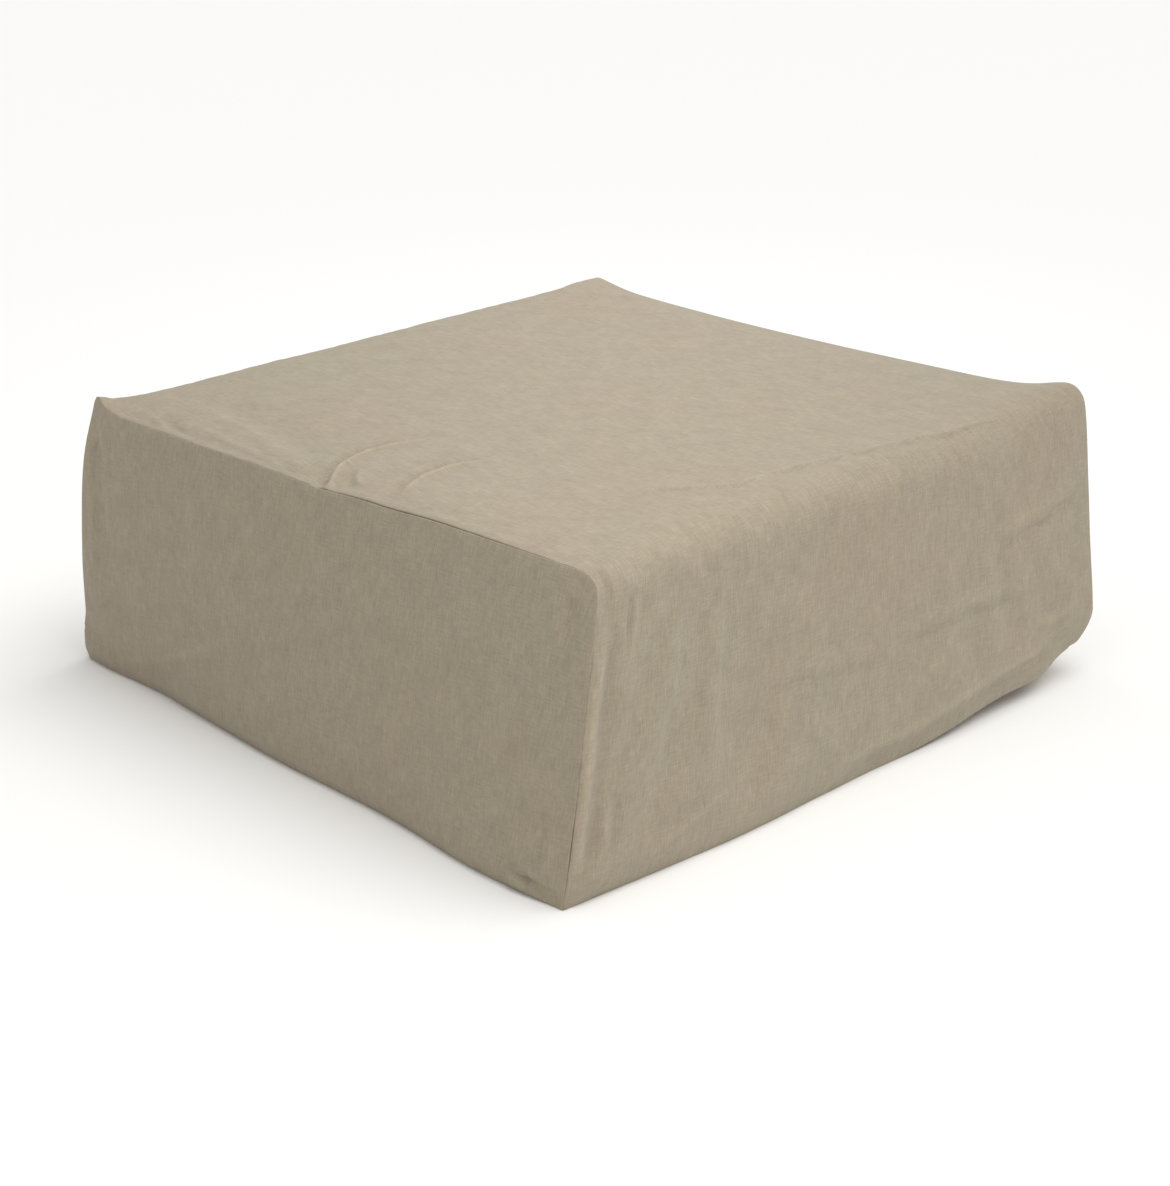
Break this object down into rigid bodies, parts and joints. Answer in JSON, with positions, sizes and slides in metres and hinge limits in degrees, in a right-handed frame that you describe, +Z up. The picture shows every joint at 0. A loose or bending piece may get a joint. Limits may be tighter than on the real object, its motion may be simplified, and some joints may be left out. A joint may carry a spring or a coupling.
{
  "type": "floor cushion",
  "caption": "Large square floor cushion with a loose linen cover, a zip along the foot of the rear face and a layered foam core.",
  "frame": {"origin": "middle of the underside, where the cushion rests on the floor", "axes": "+Z up through the seat; -Y the front face, where the cover's cloth runs over the top edge without a seam; +X and -X the seamed side panels; +Y the rear face with the zip"},
  "size_m": [0.9, 0.9, 0.355],
  "materials": {
    "washed_linen": "washed plain weave linen, matt, with slubs",
    "label_satin": "blank satin ribbon",
    "zip_tape": "twill tape",
    "zip_nylon": "nylon monofilament coil",
    "zip_metal": "antique nickel plated zinc, slightly worn",
    "liner_cotton": "unbleached cotton calico",
    "fibre_wadding": "lofted polyester fibre",
    "soft_foam": "open cell polyurethane foam, soft grade",
    "medium_foam": "open cell polyurethane foam, medium grade",
    "firm_foam": "open cell polyurethane foam, firm grade"
  },
  "bodies": {
    "cushion": {"wrap_panel": "washed_linen", "left_side_panel": "washed_linen", "right_side_panel": "washed_linen", "base_panel": "washed_linen", "care_label": "label_satin", "zip_tape_upper": "zip_tape", "zip_tape_lower": "zip_tape", "zip_coil_upper": "zip_nylon", "zip_coil_lower": "zip_nylon", "zip_stop_closed_end": "zip_metal", "zip_stop_open_end": "zip_metal", "liner_top": "liner_cotton", "liner_band": "liner_cotton", "liner_base": "liner_cotton", "fibre_top_sheet": "fibre_wadding", "fibre_side_band": "fibre_wadding", "foam_top_slab": "soft_foam", "foam_middle_slab": "medium_foam", "foam_base_slab": "firm_foam"},
    "slider": {"zip_slider": "zip_metal"},
    "pull": {"zip_pull_tab": "zip_metal"}
  },
  "joints": [
    {"name": "zip_slide", "type": "slide", "parent": "cushion", "child": "slider", "axis": [-1, 0, 0], "range_m": [0, 0.82]},
    {"name": "pull_swing", "type": "hinge", "parent": "slider", "child": "pull", "pos_m": [0.4105, 0.4479, 0.038], "axis": [0, 0, -1], "range_deg": [0, 180]}
  ]
}
